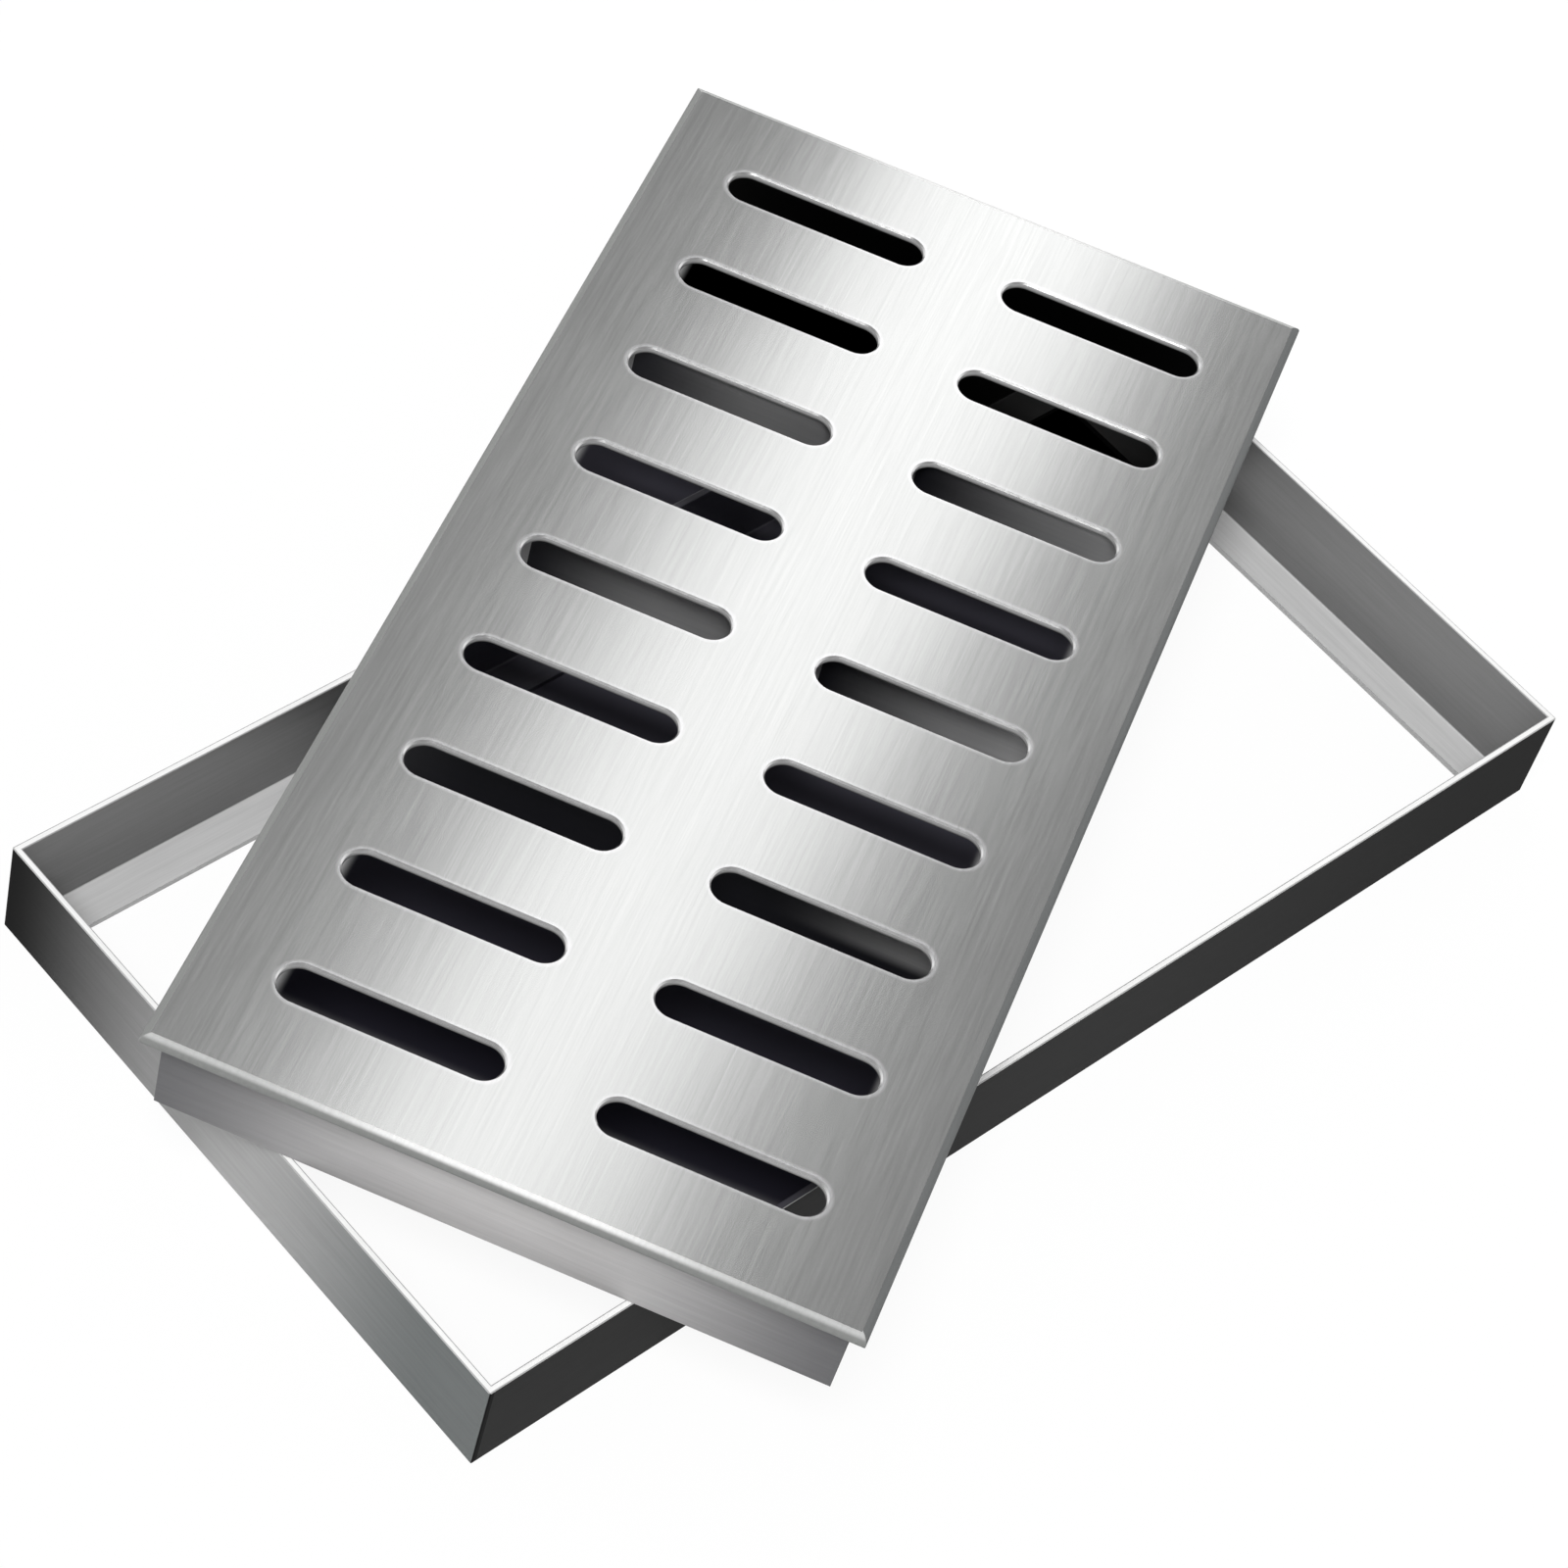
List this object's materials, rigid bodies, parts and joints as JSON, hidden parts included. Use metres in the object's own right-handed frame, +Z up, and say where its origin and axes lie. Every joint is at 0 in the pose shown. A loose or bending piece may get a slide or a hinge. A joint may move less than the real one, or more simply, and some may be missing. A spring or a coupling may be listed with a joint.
{
  "type": "drain grate",
  "caption": "Slotted rectangular stainless drain cover with an inset skirt and cross ribs, lying crosswise on the mitred angle frame that it drops into.",
  "frame": {"origin": "on the floor, straight below the middle of the cover, which is the middle of the whole object's bounding box", "axes": "+X along the frame's long sides, +Y across the frame towards its far side, +Z up; the cover's length is turned 28.7 degrees from +X towards +Y"},
  "size_m": [0.5492, 0.4498, 0.0815],
  "materials": {
    "cover_steel": "stainless sheet with a fine brushed grain along the cover",
    "frame_steel": "stainless sheet with a fine brushed grain along each side",
    "ground_weld": "weld seam ground flush with the steel beside it",
    "skirt_steel": "stainless flat bar with a satin finish",
    "rib_steel": "stainless flat bar as rolled, duller than the cover",
    "fillet_weld": "rippled fillet weld, cleaned but not ground"
  },
  "bodies": {
    "root": {"frame_side_near": "frame_steel", "frame_side_far": "frame_steel", "frame_end_left": "frame_steel", "frame_end_right": "frame_steel", "frame_corner_weld_near_left": "ground_weld", "frame_corner_weld_near_right": "ground_weld", "frame_corner_weld_far_left": "ground_weld", "frame_corner_weld_far_right": "ground_weld", "cover_sheet": "cover_steel", "skirt_bar_near": "skirt_steel", "skirt_bar_far": "skirt_steel", "skirt_bar_left": "skirt_steel", "skirt_bar_right": "skirt_steel", "skirt_corner_weld_near_left": "fillet_weld", "skirt_corner_weld_near_right": "fillet_weld", "skirt_corner_weld_far_left": "fillet_weld", "skirt_corner_weld_far_right": "fillet_weld", "skirt_stitch_welds_near": "fillet_weld", "skirt_stitch_welds_far": "fillet_weld", "skirt_stitch_welds_left": "fillet_weld", "skirt_stitch_welds_right": "fillet_weld", "cross_rib_near": "rib_steel", "cross_rib_middle": "rib_steel", "cross_rib_far": "rib_steel", "cross_rib_welds_near": "fillet_weld", "cross_rib_welds_middle": "fillet_weld", "cross_rib_welds_far": "fillet_weld"}
  },
  "joints": []
}
